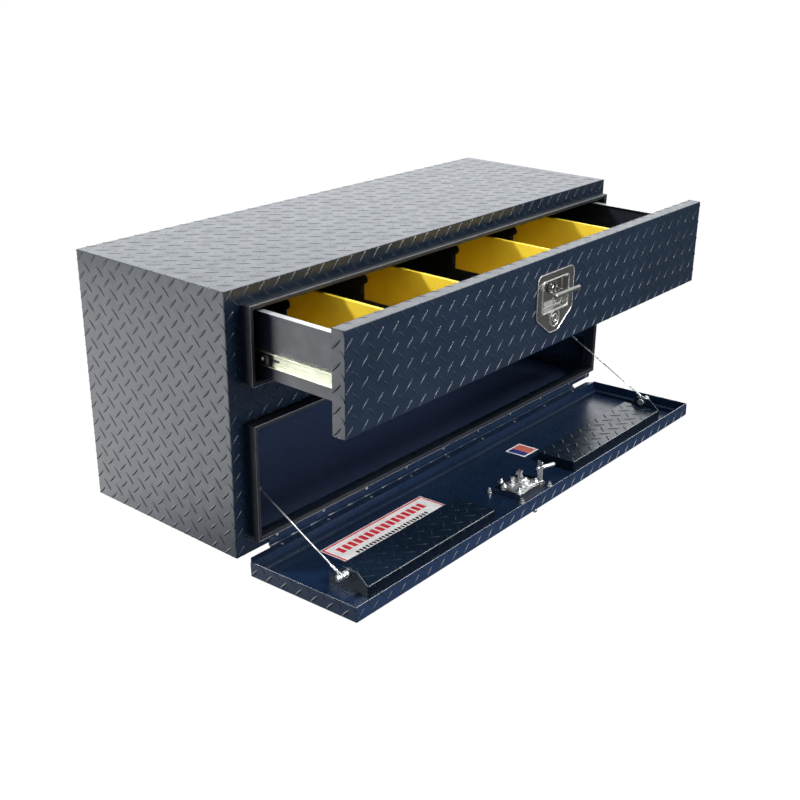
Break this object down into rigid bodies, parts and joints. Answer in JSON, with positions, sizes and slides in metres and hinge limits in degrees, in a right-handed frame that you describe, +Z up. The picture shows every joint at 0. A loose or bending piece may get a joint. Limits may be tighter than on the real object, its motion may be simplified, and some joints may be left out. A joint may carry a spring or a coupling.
{
  "type": "truck tool box",
  "caption": "Underbody truck tool box of tread plate with a wide top drawer holding open bins and a drop-down lower door hung on cables, each closed by a folding T handle latch.",
  "frame": {"origin": "front left bottom corner of the cabinet, seen from the front", "axes": "+X right along the front, +Y into the cabinet, +Z up"},
  "size_m": [1.2192, 0.6986, 0.5674],
  "materials": {
    "tread_black": "semi-gloss black powder coat over raised tread lugs",
    "smooth_black": "semi-gloss black powder coat over smooth sheet",
    "seal_rubber": "satin extruded rubber",
    "zinc_steel": "bright zinc plate",
    "slide_zinc": "cream zinc plate, drawn along the slide",
    "slide_dark": "dark steel",
    "polished_stainless": "polished stainless steel",
    "cable_steel": "twisted steel wire",
    "bin_yellow": "moulded yellow plastic",
    "divider_black": "moulded black plastic",
    "label_white": "blank white film with a red edge",
    "sticker_film": "small plain two-tone film"
  },
  "bodies": {
    "cabinet": {"body_wrap": "tread_black", "back_panel": "smooth_black", "floor_panel": "smooth_black", "middle_deck": "smooth_black", "face_frame": "tread_black", "drawer_opening_seal": "seal_rubber", "door_opening_seal": "seal_rubber", "slide_spacer_left": "smooth_black", "slide_spacer_right": "smooth_black", "slide_outer_left": "slide_zinc", "slide_outer_right": "slide_zinc", "slide_outer_screws": "zinc_steel", "cable_anchors": "smooth_black", "cable_left": "cable_steel", "cable_right": "cable_steel", "door_strike": "smooth_black", "hinge_box_leaf": "smooth_black", "hinge_pin": "zinc_steel", "hinge_box_rivets": "zinc_steel"},
    "slide_left": {"slide_middle_left": "slide_dark"},
    "slide_right": {"slide_middle_right": "slide_dark"},
    "drawer": {"drawer_front": "tread_black", "drawer_tray": "smooth_black", "slide_inner_left": "slide_zinc", "slide_inner_right": "slide_zinc", "slide_inner_screws": "zinc_steel", "drawer_latch_plate": "polished_stainless", "drawer_latch_studs": "zinc_steel", "drawer_latch_housing": "zinc_steel", "bin_1": "bin_yellow", "bin_2": "bin_yellow", "bin_3": "bin_yellow", "bin_4": "bin_yellow", "divider_1": "divider_black", "divider_2": "divider_black", "divider_3": "divider_black", "divider_4": "divider_black"},
    "drawer_bolt": {"drawer_latch_bolt": "zinc_steel"},
    "drawer_hub": {"drawer_handle_hub": "polished_stainless", "drawer_handle_pin": "polished_stainless"},
    "drawer_grip": {"drawer_handle": "polished_stainless"},
    "drawer_key_plug": {"drawer_lock_plug": "polished_stainless"},
    "door": {"door_pan": "tread_black", "door_edge_strip": "smooth_black", "door_stiffener_left": "tread_black", "door_stiffener_right": "tread_black", "cable_studs": "zinc_steel", "door_label": "label_white", "door_sticker": "sticker_film", "door_latch_plate": "polished_stainless", "door_latch_studs": "zinc_steel", "hinge_door_leaf": "smooth_black", "hinge_door_rivets": "zinc_steel"},
    "door_hub": {"door_handle_hub": "polished_stainless", "door_handle_pin": "polished_stainless", "door_latch_arm": "zinc_steel", "door_latch_roller": "zinc_steel", "door_latch_clamp": "zinc_steel"},
    "door_grip": {"door_handle": "polished_stainless"},
    "door_key_plug": {"door_lock_plug": "polished_stainless"}
  },
  "joints": [
    {"name": "drawer_slide", "type": "slide", "parent": "cabinet", "child": "drawer", "axis": [0, 1, 0], "range_m": [-0.12, 0.2282]},
    {"name": "slide_left_travel", "type": "slide", "parent": "cabinet", "child": "slide_left", "axis": [0, 1, 0], "range_m": [-0.06, 0.1141]},
    {"name": "slide_right_travel", "type": "slide", "parent": "cabinet", "child": "slide_right", "axis": [0, 1, 0], "range_m": [-0.06, 0.1141]},
    {"name": "door_hinge", "type": "hinge", "parent": "cabinet", "child": "door", "pos_m": [0.6096, -0.0033, -0.0061], "axis": [1, 0, 0], "range_deg": [-87.7, 0], "deforming": ["cable_left", "cable_right"]},
    {"name": "drawer_handle_turn", "type": "hinge", "parent": "drawer", "child": "drawer_hub", "pos_m": [0.613, -0.2597, 0.427], "axis": [0, -1, 0], "range_deg": [-90, 0]},
    {"name": "drawer_handle_fold", "type": "hinge", "parent": "drawer_hub", "child": "drawer_grip", "pos_m": [0.613, -0.2532, 0.427], "axis": [1, 0, 0], "range_deg": [0, 90]},
    {"name": "drawer_bolt_travel", "type": "slide", "parent": "drawer", "child": "drawer_bolt", "axis": [0, 0, 1], "range_m": [0, 0.02]},
    {"name": "drawer_lock_turn", "type": "hinge", "parent": "drawer", "child": "drawer_key_plug", "pos_m": [0.613, -0.2597, 0.369], "axis": [0, -1, 0], "range_deg": [0, 90]},
    {"name": "door_handle_turn", "type": "hinge", "parent": "door", "child": "door_hub", "pos_m": [0.613, -0.21434, -0.02535], "axis": [0, -0.0401, -0.9992], "range_deg": [-20, 70]},
    {"name": "door_handle_fold", "type": "hinge", "parent": "door_hub", "child": "door_grip", "pos_m": [0.613, -0.21408, -0.01885], "axis": [0.342, 0.9389, -0.0377], "range_deg": [0, 45]},
    {"name": "door_lock_turn", "type": "hinge", "parent": "door", "child": "door_key_plug", "pos_m": [0.613, -0.15639, -0.02767], "axis": [0, -0.0401, -0.9992], "range_deg": [0, 90]}
  ],
  "couplings": [
    {"joint": "slide_left_travel", "follows": "drawer_slide", "ratio": 0.5},
    {"joint": "slide_right_travel", "follows": "drawer_slide", "ratio": 0.5},
    {"joint": "drawer_bolt_travel", "follows": "drawer_handle_fold", "m_per_rad": 0.012732}
  ]
}
